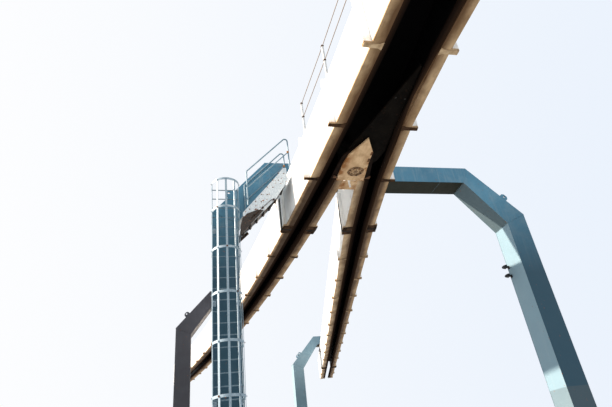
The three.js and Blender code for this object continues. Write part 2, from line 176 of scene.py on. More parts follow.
def turnout_right(y):
    narrow = left_x(y) + HALF_WIDTH
    wide = narrow + (TURNOUT_RIGHT_FACE - narrow) * clamp((y - JUNCTION_Y) / WIDENING)
    return max(wide, right_x(y) + HALF_WIDTH + SWELL * clamp((FORK - y) / SWELLING))


def branch_edge(x_of, slope_of, hand):
    def edge(y, inwards):
        side = hand * (HALF_WIDTH - inwards)
        return x_of(y) + side, y - slope_of(y) * clamp((y - FORK) / -FORK) * side
    return edge


LEFT_SUPPORT_Y, RIGHT_SUPPORT_Y = 10.5, 19.65
RING_HALF, TWIN_HALF = 0.05, 0.095


def twin(y):
    """The two wide rings at a support."""
    return [(y - 0.01, TWIN_HALF), (y + 0.23, TWIN_HALF)]


def single(*places):
    return [(y, RING_HALF) for y in places]


GIRDERS = {
    "turnout": {
        "edges": (lambda y, inwards: (left_x(y) - HALF_WIDTH + inwards, y),
                  lambda y, inwards: (turnout_right(y) - inwards, y)),
        "rings": single(-13, -12.5, -10.5, -8.5, -6.5, -4.45, -2.5), "out": 0.150,
    },
    "left_branch": {
        "edges": [branch_edge(left_x, left_slope, hand) for hand in (-1, 1)],
        "rings": single(1.95, 3.7, 5.45, 7.2, 8.9, 12.3, 14.1, 15.8, 17.4, 18.9, 20.5)
        + twin(0) + twin(LEFT_SUPPORT_Y), "out": 0.075,
    },
    "right_branch": {
        "edges": [branch_edge(right_x, right_slope, hand) for hand in (-1, 1)],
        "rings": single(2.15, 4.07, 5.97, 7.87, 9.77, 11.6, 13.55, 15.4, 17.25, 21.9)
        + twin(0) + twin(RIGHT_SUPPORT_Y), "out": 0.075,
    },
}
print("rings:", {name: len(girder["rings"]) for name, girder in GIRDERS.items()})

# %% [markdown]
# ## Helpers for materials
# Every coat is a Principled shader fed by a few procedural patterns. All read Object coordinates,
# in metres, so rust keeps its size on a short plate and a long girder. Each helper makes a node
# or two and returns an output, so that a coat reads as a recipe.

# %% Node helpers
def start_coat(name, specular=0.5):
    coat = bpy.data.materials.new(name)
    coat.use_nodes = True
    shader = coat.node_tree.nodes["Principled BSDF"]
    shader.inputs["Specular IOR Level"].default_value = specular
    return coat, coat.node_tree, shader


def spread(tree, stretch=(1, 1, 1)):
    """Object coordinates, stretched: a small number along Z draws a pattern out into streaks."""
    place = add_node(tree, "TexCoord", {}, "Object")
    return add_node(tree, "Mapping", {"Scale": stretch, "Vector": place}, "Vector")


def cloud(tree, scale, low, high, stretch=(1, 1, 1), detail=5):
    """Soft patches, as 0 to 1."""
    inputs = {"Scale": scale, "Detail": detail, "Roughness": 0.6, "Vector": spread(tree, stretch)}
    return ramp(tree, add_node(tree, "TexNoise", inputs, "Fac"), low, high)


def facing(tree, direction, low=0.4, high=0.7):
    """1 where a face looks along this direction."""
    normal = add_node(tree, "NewGeometry", {}, "Normal")
    dot = add_node(tree, "VectorMath", {0: normal, 1: direction}, "Value", operation="DOT_PRODUCT")
    return ramp(tree, dot, low, high)


def place_on(tree, axis):
    return add_node(tree, "SeparateXYZ", {0: spread(tree)}, axis)


def along(tree, axis, low, high):
    """0 to 1 between two places on one axis."""
    return ramp(tree, place_on(tree, axis), low, high)


def calc(tree, operation, first, second):
    return add_node(tree, "Math", {0: first, 1: second}, 0, operation=operation)


def times(tree, first, second):
    return calc(tree, "MULTIPLY", first, second)


def mottle(tree, colour, patches, thick, scale, low, high, stretch=(1, 1, 1)):
    """Patches of another colour, never thicker than this."""
    amount = times(tree, cloud(tree, scale, low, high, stretch), thick)
    return over(tree, amount, colour, patches)


def drive(tree, shader, socket, amount, low, high):
    """One shader input, between two values, by a pattern."""
    value = add_node(tree, "MapRange", {"To Min": low, "To Max": high, "Value": amount}, "Result")
    tree.links.new(value, shader.inputs[socket])


def finish_coat(coat, tree, shader, colour, grain, strength, gloss=None, stretch=(1, 1, 1)):
    """Wire in the colour, a patchy gloss if one is given, and a fine grain as a bump."""
    tree.links.new(colour, shader.inputs["Base Color"])
    if gloss:
        scale, low, high = gloss
        drive(tree, shader, "Roughness", cloud(tree, scale, 0.3, 0.7), low, high)
    height = cloud(tree, grain, 0.3, 0.7, stretch)
    bump = {"Strength": strength, "Distance": 0.002, "Height": height}
    tree.links.new(add_node(tree, "Bump", bump, "Normal"), shader.inputs["Normal"])
    return coat


RUST = (0.23, 0.075, 0.018)
SCALE_BROWN = (0.075, 0.032, 0.014)
print("node helpers are ready")

# %% [markdown]
# ## The portal's blue coat
# The legs are a semi-gloss steel blue, bleached by rain in clouds and faint upright streaks.
# Undersides are painted a near-black olive as painted shade, so the recipe asks where a face
# looks down. Faces to the left are painted paler as painted sunlight, and the fronts are painted
# darker towards the bottom as painted shade. Up to 2.9 m a grey guard coat is rolled on, so that
# posters come off. The other two supports share all this.

# %% Blue and dark paint
GUARD_TOP = 2.90


def weathered_paint(name, deep, body, bleached_and_sunlit, underside_shade, guard, front_shade_share):
    coat, tree, shader = start_coat(name)
    colour = over(tree, cloud(tree, 0.7, 0.35, 0.68), deep, body)
    colour = mottle(tree, colour, bleached_and_sunlit, 0.5, 1.6, 0.5, 0.78)
    colour = mottle(tree, colour, bleached_and_sunlit, 0.5, 9, 0.52, 0.8, (1, 1, 0.08))
    colour = mottle(tree, colour, deep, 0.25, 26, 0.52, 0.7)
    # Faces that look left are painted paler: painted sunlight on the key light's side.
    colour = over(tree, times(tree, facing(tree, (-1, 0, 0)), 0.68), colour, bleached_and_sunlit)
    # Faces that look to the front are painted darker towards the bottom: painted shade.
    front_shade = times(tree, along(tree, "Z", 8.7, 6.0), facing(tree, (0, -1, 0)))
    colour = over(tree, times(tree, front_shade, front_shade_share), colour, tuple(0.33 * part for part in deep))
    guarded = along(tree, "Z", GUARD_TOP + 0.01, GUARD_TOP - 0.01)
    colour = over(tree, times(tree, guarded, 0.5), colour, guard)
    # Faces that look down are painted near-black olive: painted shade under the steel.
    below = facing(tree, (0, 0, -1), 0.3, 0.8)
    colour = over(tree, below, colour, underside_shade)
    colour = over(tree, cloud(tree, 11, 0.67, 0.72, detail=8), colour, RUST)
    foot = times(tree, along(tree, "Z", 0.9, 0.05), cloud(tree, 6, 0.42, 0.6))
    colour = over(tree, times(tree, foot, 0.8), colour, SCALE_BROWN)
    drive(tree, shader, "Specular IOR Level", below, 0.25, 0.05)
    return finish_coat(coat, tree, shader, colour, 60, 0.25, (3, 0.34, 0.55))


# Colours: deep, body, rain-bleached and painted sunlit, painted underside shade, guard; then the
# share of painted front shade.
steel_blue = weathered_paint(
    "steel_blue_paint", (0.066, 0.19, 0.285), (0.095, 0.255, 0.365), (0.250, 0.336, 0.378),
    (0.024, 0.026, 0.019), (0.08, 0.105, 0.115), 0.95)
# A paler copy of the blue for the far support: painted light, standing in for the haze over its
# distance.
haze_paler_blue = weathered_paint(
    "haze_paler_blue_paint", (0.165, 0.275, 0.34), (0.195, 0.31, 0.38), (0.24, 0.345, 0.40),
    (0.03, 0.036, 0.035), (0.14, 0.17, 0.185), 0.5)
slate_paint = weathered_paint(
    "slate_paint", (0.046, 0.047, 0.057), (0.058, 0.060, 0.072), (0.078, 0.083, 0.10),
    (0.013, 0.013, 0.012), (0.06, 0.06, 0.06), 0.3)
print("painted:", steel_blue.name, haze_paler_blue.name, slate_paint.name)

# %% [markdown]
# ## White webs, black inside
# A web is one plate, white and washed by rain outside. Every face that looks inwards is painted
# black as painted shade for the dark inside of the girder, and so is the roof's underside. The
# CAD plate has one material slot, so the recipe asks which way a face looks. Rain draws grey
# streaks down the white, rust creeps up from the flange, and grey dust settles on whatever
# looks up.

# %% Web and roof paint
INSIDE_SHADE_BLACK = (0.004, 0.004, 0.0045)


def web_paint(name, *inwards):
    coat, tree, shader = start_coat(name)
    colour = over(tree, cloud(tree, 0.9, 0.35, 0.7), (0.85, 0.85, 0.835), (0.90, 0.905, 0.90))
    colour = mottle(tree, colour, (0.50, 0.46, 0.38), 0.42, 7, 0.56, 0.82, (1, 1, 0.07))
    low = times(tree, along(tree, "Z", FLANGE_TOP + 0.26, FLANGE_TOP), cloud(tree, 5, 0.45, 0.62))
    colour = over(tree, times(tree, low, 0.6), colour, (0.42, 0.33, 0.22))
    colour = over(tree, cloud(tree, 13, 0.71, 0.75, detail=8), colour, RUST)
    settled = over(tree, cloud(tree, 1.1, 0.35, 0.65), (0.25, 0.245, 0.225), (0.37, 0.37, 0.355))
    settled = mottle(tree, settled, (0.17, 0.16, 0.135), 0.5, 6, 0.5, 0.7)
    colour = over(tree, times(tree, facing(tree, (0, 0, 1), 0.6, 0.9), 0.9), colour, settled)
    # Faces that look along these directions are painted black: painted shade inside the girder.
    for direction in inwards:
        colour = over(tree, facing(tree, direction), colour, INSIDE_SHADE_BLACK)
    if inwards:
        drive(tree, shader, "Specular IOR Level", facing(tree, inwards[0]), 0.4, 0.03)
    return finish_coat(coat, tree, shader, colour, 45, 0.2, (4, 0.38, 0.6))


# The directions are the faces painted black as shade inside the girder.
left_web_paint = web_paint("left_web_paint", (1, 0, 0))
right_web_paint = web_paint("right_web_paint", (-1, 0, 0))
fork_paint = web_paint("fork_paint", (0, -1, 0), (1, 0, 0), (-1, 0, 0), (0, 0, 1))
roof_paint = web_paint("roof_paint", (0, 0, -1))
white_paint = web_paint("white_paint")
print("painted:", left_web_paint.name, right_web_paint.name, roof_paint.name)

# %% [markdown]
# ## Flanges
# Road dirt has turned the white flanges tan, soot browns them towards the slot, and the thin lip
# beside the slot is rusted dark brown, partly as painted shade in its recess, and painted black
# further in as painted shade inside the slot. The dirt follows the curve of the track, so the
# recipe works out how far each point lies inside the girder's outer face: the track's formula
# again, in nodes.

# %% Flange coats
def track_line(tree, radius, arc):
    run = calc(tree, "SUBTRACT", place_on(tree, "Y"), JUNCTION_Y)
    bent = calc(tree, "MINIMUM", run, arc)
    bow = times(tree, times(tree, bent, bent), 0.5 / radius)
    tail = times(tree, calc(tree, "SUBTRACT", run, bent), JUNCTION_SLOPE + arc / radius)
    line = calc(tree, "ADD", times(tree, bent, JUNCTION_SLOPE), JUNCTION_X)
    return calc(tree, "ADD", calc(tree, "ADD", line, bow), tail)


def inside_face(tree, track, hand):
    """Metres inside the outer face, at hand -1 on the left and 1 on the right."""
    if track == "turnout" and hand > 0:
        narrow = calc(tree, "ADD", track_line(tree, *LEFT_LINE), HALF_WIDTH)
        room = calc(tree, "SUBTRACT", TURNOUT_RIGHT_FACE, narrow)
        room = times(tree, room, along(tree, "Y", JUNCTION_Y, JUNCTION_Y + WIDENING))
        fork = calc(tree, "ADD", track_line(tree, *RIGHT_LINE), HALF_WIDTH)
        swell = times(tree, along(tree, "Y", FORK, FORK - SWELLING), SWELL)
        fork = calc(tree, "ADD", fork, swell)
        face = calc(tree, "MAXIMUM", calc(tree, "ADD", narrow, room), fork)
        return calc(tree, "SUBTRACT", face, place_on(tree, "X"))
    line = track_line(tree, *(RIGHT_LINE if track == "right_branch" else LEFT_LINE))
    across = times(tree, calc(tree, "SUBTRACT", place_on(tree, "X"), line), -hand)
    return calc(tree, "ADD", across, HALF_WIDTH)


LIP_RUST_SHADE_BROWN, LIP_SHADE_BLACK = (0.034, 0.019, 0.012), (0.011, 0.007, 0.0055)
RIM_RUST = (0.30, 0.13, 0.045)


def flange_coat(name, clean, tanned, soiled, soot, track="", hand=0, reach=0.22, rims=()):
    coat, tree, shader = start_coat(name, 0.15)
    colour = over(tree, cloud(tree, 1.3, 0.35, 0.65), tanned, clean)
    colour = mottle(tree, colour, soiled, soot, 3.4, 0.46, 0.7)
    colour = mottle(tree, colour, soiled, 0.35, 22, 0.5, 0.75, (1, 0.2, 1))
    colour = over(tree, cloud(tree, 8, 0.67, 0.73, detail=8), colour, RUST)
    if rims:
        edges = calc(tree, "ADD", along(tree, "X", *rims[:2]), along(tree, "X", *rims[2:]))
        colour = over(tree, times(tree, edges, cloud(tree, 5, 0.38, 0.6)), colour, RIM_RUST)
    else:
        inside = inside_face(tree, track, hand)
        patchy = times(tree, cloud(tree, 2.5, 0.35, 0.7, stretch=(1, 0.4, 1)), 0.5)
        worn = calc(tree, "ADD", ramp(tree, inside, 0.03, reach), patchy)
        colour = over(tree, times(tree, ramp(tree, worn, 0.22, 0.95), 0.95), colour, soiled)
        # The lip is painted dark brown, partly rust and partly painted shade, and black further in
        # as painted shade inside the slot.
        lip_rust_and_shade = over(tree, ramp(tree, inside, 0.21, 0.29), LIP_RUST_SHADE_BROWN, LIP_SHADE_BLACK)
        under_lip = ramp(tree, inside, 0.200, 0.207)
        colour = over(tree, under_lip, colour, lip_rust_and_shade)
        drive(tree, shader, "Specular IOR Level", under_lip, 0.15, 0.0)
    return finish_coat(coat, tree, shader, colour, 70, 0.35, (5, 0.55, 0.8))


# Each of these is a clean, a tanned and a soiled colour.
ROAD_TAN = ((0.55, 0.395, 0.24), (0.36, 0.235, 0.125), (0.11, 0.057, 0.026))
BROWNED = ((0.53, 0.37, 0.22), (0.35, 0.22, 0.115), (0.075, 0.041, 0.022))
SOOTED = ((0.52, 0.36, 0.215), (0.29, 0.18, 0.095), (0.060, 0.033, 0.018))
SHELTERED = ((0.68, 0.51, 0.335), (0.46, 0.315, 0.18), (0.11, 0.061, 0.03))
FROG_TAN = ((0.80, 0.585, 0.36), (0.64, 0.43, 0.245), (0.30, 0.145, 0.055))
FLANGES = [
    # girder, hand, colours, soot, and how far in the soot is full
    ("turnout", -1, ROAD_TAN, 0.35, 0.22),
    ("turnout", 1, ROAD_TAN, 0.35, 0.22),
    ("left_branch", -1, SOOTED, 0.7, 0.10),
    ("left_branch", 1, BROWNED, 0.45, 0.22),
    ("right_branch", -1, SHELTERED, 0.3, 0.24),
    ("right_branch", 1, BROWNED, 0.5, 0.18),
]
flange_coats = {}
for track, hand, colours, soot, reach in FLANGES:
    side = "left" if hand < 0 else "right"
    coat = flange_coat(f"{track}_{side}_tan", *colours, soot, track, hand, reach)
    flange_coats[f"{track}_{side}_flange"] = coat
# The rims are where the rust starts and is full along X, on the left and on the right.
frog_tan = flange_coat("frog_tan", *FROG_TAN, 0.5, rims=(2.76, 2.60, 2.98, 3.10))
fork_tan = flange_coat("fork_tan", *FROG_TAN, 0.5, rims=(2.85, 2.77, 2.97, 3.04))
print("coated flanges:", sorted(flange_coats))

# %% [markdown]
# ## Bare steel
# The running plates and the tongue are bare, black-brown with wear and oil. They take hardly
# any light from the sky, so their gloss is low.

# %% Running plates and tongue
def bare_steel(name, dark, brown, rough):
    coat, tree, shader = start_coat(name, 0.03)
    colour = over(tree, cloud(tree, 2.2, 0.35, 0.65), dark, brown)
    colour = mottle(tree, colour, SCALE_BROWN, 0.25, 17, 0.6, 0.72)
    gloss = (6, rough - 0.12, rough + 0.1)
    return finish_coat(coat, tree, shader, colour, 90, 0.4, gloss, stretch=(1, 0.3, 1))


rail_steel = bare_steel("rail_steel", (0.008, 0.005, 0.004), (0.018, 0.010, 0.007), 0.65)
tongue_steel = bare_steel("tongue_steel", (0.003, 0.0024, 0.002), (0.007, 0.0055, 0.0042), 0.75)
print("bare:", rail_steel.name, tongue_steel.name)

# %% [markdown]
# ## Zinc, rusty iron, rubber and lamp black
# The ladder and stair are hot-dip galvanised: zinc crystals give a faint patchwork, which a
# Voronoi pattern draws. Clips and brackets without zinc have rusted. The safety rail is white,
# and only its two ropes are tan.

# %% Small finishes
def zinc(name, pale, blue, rust_from):
    coat, tree, shader = start_coat(name)
    shader.inputs["Metallic"].default_value = 0.15
    crystals = add_node(tree, "TexVoronoi", {"Scale": 38, "Vector": spread(tree)}, "Distance")
    patch = ramp(tree, crystals, 0.1, 0.9)
    colour = over(tree, patch, pale, blue)
    colour = mottle(tree, colour, blue, 0.5, 5, 0.5, 0.75)
    colour = over(tree, cloud(tree, 15, rust_from, rust_from + 0.05, detail=8), colour, RUST)
    tree.links.new(colour, shader.inputs["Base Color"])
    drive(tree, shader, "Roughness", patch, 0.4, 0.6)
    return coat


def plain_coat(name, dark, light, rough, scale, specular=0.3):
    coat, tree, shader = start_coat(name, specular)
    shader.inputs["Roughness"].default_value = rough
    colour = over(tree, cloud(tree, scale, 0.38, 0.62), dark, light)
    return finish_coat(coat, tree, shader, colour, scale * 5, 0.3)


ROPE_HEIGHTS = (9.50, 9.95)


def rope_rail_coat(name):
    coat, tree, shader = start_coat(name)
    colour = over(tree, cloud(tree, 9, 0.45, 0.7), (0.72, 0.73, 0.73), (0.55, 0.55, 0.53))
    for height in ROPE_HEIGHTS:
        rising = along(tree, "Z", height - 0.014, height - 0.010)
        falling = along(tree, "Z", height + 0.014, height + 0.010)
        colour = over(tree, times(tree, rising, falling), colour, (0.28, 0.19, 0.12))
    return finish_coat(coat, tree, shader, colour, 80, 0.3)


galvanised = zinc("galvanised", (0.34, 0.43, 0.49), (0.20, 0.29, 0.36), 0.70)
dark_zinc = zinc("dark_zinc", (0.15, 0.22, 0.27), (0.075, 0.135, 0.18), 0.70)
rail_zinc = zinc("rail_zinc", (0.23, 0.33, 0.39), (0.12, 0.20, 0.26), 0.72)
spotted_zinc = zinc("spotted_zinc", (0.66, 0.71, 0.73), (0.40, 0.48, 0.54), 0.60)
rope_rail = rope_rail_coat("rope_rail")
rusty_iron = plain_coat("rusty_iron", (0.045, 0.022, 0.013), (0.20, 0.085, 0.03), 0.8, 9)
burnt_iron = plain_coat("burnt_iron", (0.016, 0.009, 0.006), (0.070, 0.038, 0.021), 0.85, 7, 0.05)
# Nearly black: the brackets' dark iron, and painted shade on the stair's pan.
dark_iron_and_shade = zinc("dark_iron_and_shade", (0.046, 0.030, 0.021), (0.007, 0.0055, 0.005), 0.63)
fresh_rust = plain_coat("fresh_rust", (0.22, 0.075, 0.018), (0.50, 0.22, 0.06), 0.85, 14)
tan_strap = plain_coat("tan_strap", (0.26, 0.165, 0.09), (0.60, 0.45, 0.285), 0.75, 5, 0.15)
dull_strap = plain_coat("dull_strap", (0.10, 0.06, 0.035), (0.42, 0.295, 0.175), 0.75, 5, 0.15)
brown_strap = plain_coat("brown_strap", (0.035, 0.02, 0.012), (0.21, 0.13, 0.07), 0.8, 5, 0.1)
oily_tan = plain_coat("oily_tan", (0.13, 0.075, 0.04), (0.36, 0.235, 0.135), 0.7, 16, 0.15)
seal_rubber = plain_coat("seal_rubber", (0.010, 0.010, 0.010), (0.028, 0.027, 0.025), 0.7, 12, 0.1)
lamp_black = plain_coat("lamp_black", (0.008, 0.008, 0.009), (0.018, 0.018, 0.02), 0.45, 20)
lamp_glass = plain_coat("lamp_glass", (0.30, 0.34, 0.36), (0.42, 0.46, 0.48), 0.12, 30, 0.6)
print("finished:", galvanised.name, rusty_iron.name, tan_strap.name)

# %% [markdown]
# ## Coat the CAD pieces
# A CAD piece keeps its mesh and gets its coat through its material slot. A table of name
# endings keeps this short.

# %% Assign the coats
COAT_BY_ENDING = {
    "left_web": left_web_paint, "right_web": right_web_paint, "roof": roof_paint,
    "frog_plate": frog_tan, "running_plate": rail_steel, "switch_tongue": tongue_steel,
    "frame": white_paint, "frog_end_plate": fork_paint, "pivot_bearing": frog_tan,
    "hanger": slate_paint, "safety_rail": rope_rail, "ladder": dark_zinc,
    "ladder_cage": galvanised, "stair_flight": spotted_zinc, **flange_coats,
}


def coat_of(name):
    # The far support takes the paler blue: painted haze light.
    if name.startswith("right_support"):
        return haze_paler_blue
    for ending in sorted(COAT_BY_ENDING, key=len, reverse=True):
        if name.endswith(ending):
            return COAT_BY_ENDING[ending]
    return slate_paint if name.startswith("left_support") else steel_blue


for name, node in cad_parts.items():
    for slot in node.material_slots:
        slot.material = coat_of(name)
print("coated", len(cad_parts), "CAD pieces")

# %% [markdown]
# ## The floor
# One large flat grid, a hair under the foot plates. It is a stage, not a part of the object.

# %% Lay the floor
floor_coat = plain_coat("pale_floor", (0.296, 0.322, 0.338), (0.318, 0.345, 0.362), 0.9, 0.4)
floor_mesh = bmesh.new()
bmesh.ops.create_grid(floor_mesh, x_segments=1, y_segments=1, size=160,
                      matrix=Matrix.Translation((3.5, 5, -0.001)))
floor_data = bpy.data.meshes.new("floor")
floor_mesh.to_mesh(floor_data)
floor_mesh.free()
floor_data.materials.append(floor_coat)
floor = add_object("floor", floor_data)
print("floor laid at", floor_data.vertices[0].co.z)

# %% [markdown]
# ## Helpers for shapes
# Steelwork is made of few shapes: a plate cut to an outline, a block, a round bar or bent tube,
# and a bolt. Each helper starts from a bmesh primitive or a few corners and lets an operator
# do the rest. The last one makes a bmesh a piece that rides with its body.

# %% Shape helpers
def raise_plate(mesh, corners, by):
    """A flat face of these corners, extruded by a vector."""
    base = mesh.faces.new([mesh.verts.new(corner) for corner in corners])
    grown = bmesh.ops.extrude_face_region(mesh, geom=[base])["geom"]
    moved = [v for v in grown if isinstance(v, bmesh.types.BMVert)]
    bmesh.ops.translate(mesh, verts=moved, vec=by)


def cut_sheet(mesh, outline, y, thick):
    """An upright sheet, drawn in X and Z."""
    raise_plate(mesh, [(x, y, z) for x, z in outline], (0, thick, 0))


def block(mesh, centre, size, turn=Matrix.Identity(4)):
    """A box with a centre, three sizes and, if need be, a turn."""
    place = Matrix.Translation(centre) @ turn @ Matrix.Diagonal((*size, 1))
    return bmesh.ops.create_cube(mesh, size=1, matrix=place)["verts"]


def vertical(by):
    return Vector((0, 0, by))


def pointing(at, heading):
    """A place whose Z axis runs along heading."""
    return Matrix.Translation(at) @ Vector(heading).to_track_quat("Z", "Y").to_matrix().to_4x4()


def rod(mesh, start, end, radius, sides, end_radius=None):
    start, end = Vector(start), Vector(end)
    bmesh.ops.create_cone(mesh, cap_ends=True, segments=sides, radius1=radius,
                          radius2=end_radius or radius, depth=(end - start).length,
                          matrix=pointing((start + end) / 2, end - start))


def bolt(mesh, at, heading, across, height):
    """A washer with a hexagon head on it."""
    at, heading = Vector(at), Vector(heading).normalized()
    rod(mesh, at, at + heading * height * 0.25, across * 0.85, 12)
    rod(mesh, at + heading * height * 0.2, at + heading * height, across / 2, 6)


def round_corners(points, radius, steps):
    """The path of a bent tube: every inner corner becomes an arc."""
    points = [Vector(p) for p in points]
    path = [points[0]]
    for before, corner, after in zip(points, points[1:], points[2:]):
        back, on = (before - corner).normalized(), (after - corner).normalized()
        half = back.angle(on) / 2
        centre = corner + (back + on).normalized() * (radius / math.sin(half))
        reach = radius / math.tan(half)
        first, last = corner + back * reach - centre, corner + on * reach - centre
        axis, angle = first.cross(last), first.angle(last)
        path += [centre + Quaternion(axis, angle * i / steps) @ first for i in range(steps + 1)]
    return [*path, points[-1]]


def sweep_tube(mesh, path, radius, sides):
    """A round tube along a path: one circle, extruded and turned from point to point."""
    steps = [(b - a).normalized() for a, b in zip(path, path[1:])]
    headings = [steps[0], *[(a + b).normalized() for a, b in zip(steps, steps[1:])], steps[-1]]
    ring = bmesh.ops.create_circle(mesh, cap_ends=True, radius=radius, segments=sides,
                                   matrix=pointing(path[0], headings[0]))["verts"]
    edges = list({e for v in ring for e in v.link_edges})
    for i in range(1, len(path)):
        grown = bmesh.ops.extrude_edge_only(mesh, edges=edges)["geom"]
        verts = [g for g in grown if isinstance(g, bmesh.types.BMVert)]
        edges = [g for g in grown if isinstance(g, bmesh.types.BMEdge) and g.is_boundary]
        turn = headings[i - 1].rotation_difference(headings[i]).to_matrix().to_4x4()
        bmesh.ops.transform(mesh, verts=verts, matrix=Matrix.Translation(path[i]) @ turn
                            @ Matrix.Translation(-path[i - 1]))
    bmesh.ops.edgeloop_fill(mesh, edges=edges)


def soften(mesh, width, segments=1):
    bmesh.ops.bevel(mesh, geom=mesh.edges, offset=width, segments=segments, profile=0.5,
                    affect="EDGES", clamp_overlap=True)


def make_piece(mesh, name, coat, slot="galvanised_steel", body="guideway", smooth=False):
    bmesh.ops.recalc_face_normals(mesh, faces=mesh.faces)
    open_edges = sum(len(e.link_faces) != 2 for e in mesh.edges)
    data = bpy.data.meshes.new(name)
    mesh.to_mesh(data)
    mesh.free()
    data.materials.append(coat)
    if smooth:
        data.shade_smooth()
        data.set_sharp_from_angle(angle=math.radians(40))
    piece = add_object(name, data)
    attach(piece, body)
    print(f"{name}: {len(data.polygons)} faces, {open_edges} open edges")
    return piece


# %% [markdown]
# ## Straps under and over the rings
# Each ring goes on under the flange as a flat bar, as far as the lip, and over the roof as
# another. The bars are plates cut to the ring's plan and raised by their thickness. On the
# turnout they widen at the lip, where a gusset carries the load. The twins under the expansion
# joints and the turnout's last two take the drips, so these have rusted dark.

# %% Ring straps
FLANGE_WIDTH = 0.205
STRAP, CROWN = 0.016, 0.012
# A strap ends this far short of its ring all round, and a crown ends this far past the web.
SHY, CROWN_OUT = 0.004, 0.045


def ring_plan(edge, y, half, inner, out, flare):
    corners = [(y - half - flare, inner), (y - half, inner - 0.07), (y - half, -out),
               (y + half, -out), (y + half, inner - 0.07), (y + half + flare, inner)]
    return [edge(at, inwards) for at, inwards in corners]


STRAP_COATS = {"turnout": tan_strap, "left_branch": brown_strap, "right_branch": dull_strap}
rusted = bmesh.new()
for name, girder in GIRDERS.items():
    under = bmesh.new()
    crown = bmesh.new()
    left, right = girder["edges"]
    for y, half in girder["rings"]:
        mesh = rusted if half == TWIN_HALF or -5 < y < -2 else under
        for edge in girder["edges"]:
            plan = ring_plan(edge, y, half - SHY, FLANGE_WIDTH - SHY, girder["out"] - SHY,
                             0.035 if name == "turnout" else SHY)
            raise_plate(mesh, [(*p, UNDERSIDE) for p in plan], (0, 0, -STRAP))
        over_roof = [edge(y + hand * half, -CROWN_OUT) for edge, hand in
                     ((left, -1), (left, 1), (right, 1), (right, -1))]
        raise_plate(crown, [(*p, ROOF_TOP) for p in over_roof], (0, 0, CROWN))
    soften(under, 0.003)
    make_piece(under, f"{name}_ring_straps", STRAP_COATS[name], "flange_paint")
    make_piece(crown, f"{name}_ring_crowns", white_paint, "girder_paint")
soften(rusted, 0.003)
make_piece(rusted, "rusted_ring_straps", burnt_iron, "flange_paint")

# %% [markdown]
# ## Joints and drip strips
# The girders are jointed at every support, between the twin rings, where a black rubber strip
# keeps the rain out. A folded white strip with a slanting face along the roof's edges lets water
# drip clear of the webs. Its outline is extruded from ring to ring, between which a girder is
# straight, and each face left inside it is deleted.

# %% Joint seals and drip strips
def run_profile(mesh, edge, stations, profile):
    """A small outline of (inwards, height) pairs, extruded from station to station."""
    outline = [mesh.verts.new((*edge(stations[0], inwards), z)) for inwards, z in profile]
    end = mesh.faces.new(outline)
    for before, after in zip(stations, stations[1:]):
        grown = bmesh.ops.extrude_face_region(mesh, geom=[end])["geom"]
        if before != stations[0]:
            bmesh.ops.delete(mesh, geom=[end], context="FACES_ONLY")
        end = next(g for g in grown if isinstance(g, bmesh.types.BMFace))
        step = Vector((*edge(after, 0), 0)) - Vector((*edge(before, 0), 0))
        bmesh.ops.translate(mesh, verts=end.verts, vec=step)


def edge_strip(mesh, edge, stations, outer, inner, bottom, rise):
    there = [(*edge(y, outer), bottom) for y in stations]
    back = [(*edge(y, inner), bottom) for y in reversed(stations)]
    raise_plate(mesh, there + back, (0, 0, rise))


DRIP_PROFILE = [(-0.052, 8.8695), (-0.052, 8.857), (-0.003, 8.790),
                (0.004, 8.790), (0.004, 8.8695)]
SPANS = {"turnout": (-13.99, -2.46), "left_branch": (-2.44, 21.99), "right_branch": (-2.44, 23.49)}
drips = bmesh.new()
seals = bmesh.new()
for name, girder in GIRDERS.items():
    start, end = SPANS[name]
    turns = {y + side for y, half in girder["rings"] for side in (-half, half)}
    stations = sorted({start, end} | {y for y in turns if start < y < end})
    twins = [y for y, half in girder["rings"] if half == TWIN_HALF][::2]
    for edge in girder["edges"]:
        run_profile(drips, edge, stations, DRIP_PROFILE)
        for y in twins:
            edge_strip(seals, edge, [y + 0.05, y + 0.19], -0.081, -0.060, 7.645, 1.00)
            edge_strip(seals, edge, [y + 0.10, y + 0.14], -0.07, 0.19, 7.630, 0.018)
make_piece(drips, "drip_strips", white_paint, "girder_paint")
make_piece(seals, "joint_seals", seal_rubber, "girder_paint")

# %% [markdown]
# ## The frog
# The tongue turns on a pin under the frog. Its cover is a small outline spun round the pin's
# axis, with ribs and bolts. The corners where the fork's plates meet have rusted, a short white
# pipe drains the fork, and a rubber sheet seals the fork's end plate.

# %% Pivot cover, corner gussets, fork sheet and drain
PIVOT = Vector((2.916, -2.838, UNDERSIDE))


def turned(mesh, place, outline, steps=32):
    """A closed outline of (radius, height) pairs, spun round the Z axis of a place."""
    before = set(mesh.verts)
    ring = [mesh.verts.new((radius, 0, height)) for radius, height in outline]
    loop = [mesh.edges.new(pair) for pair in zip(ring, ring[1:] + ring[:1])]
    bmesh.ops.spin(mesh, geom=ring + loop, cent=(0, 0, 0), axis=(0, 0, 1),
                   angle=math.tau, steps=steps, use_merge=True)
    spun = [v for v in mesh.verts if v not in before]
    bmesh.ops.transform(mesh, verts=spun, matrix=place)


def washer(inner, outer, low, high):
    """The outline that turned() spins into a flat ring."""
    return [(inner, low), (outer, low), (outer, high), (inner, high)]


def round_about(centre, radius, count, offset=0.0):
    for i in range(count):
        angle = math.tau * (i + offset) / count
        yield angle, centre + Vector((radius * math.cos(angle), radius * math.sin(angle), 0))


cover = bmesh.new()
turned(cover, Matrix.Translation(PIVOT), [(0.128, 0), (0.178, 0), (0.174, -0.014), (0.132, -0.014)])
rod(cover, PIVOT, PIVOT - vertical(0.022), 0.055, 20, 0.045)
for angle, at in round_about(PIVOT - vertical(0.006), 0.092, 8):
    block(cover, at, (0.085, 0.014, 0.012), Matrix.Rotation(angle, 4, "Z"))
make_piece(cover, "pivot_cover", oily_tan, "flange_paint", smooth=True)

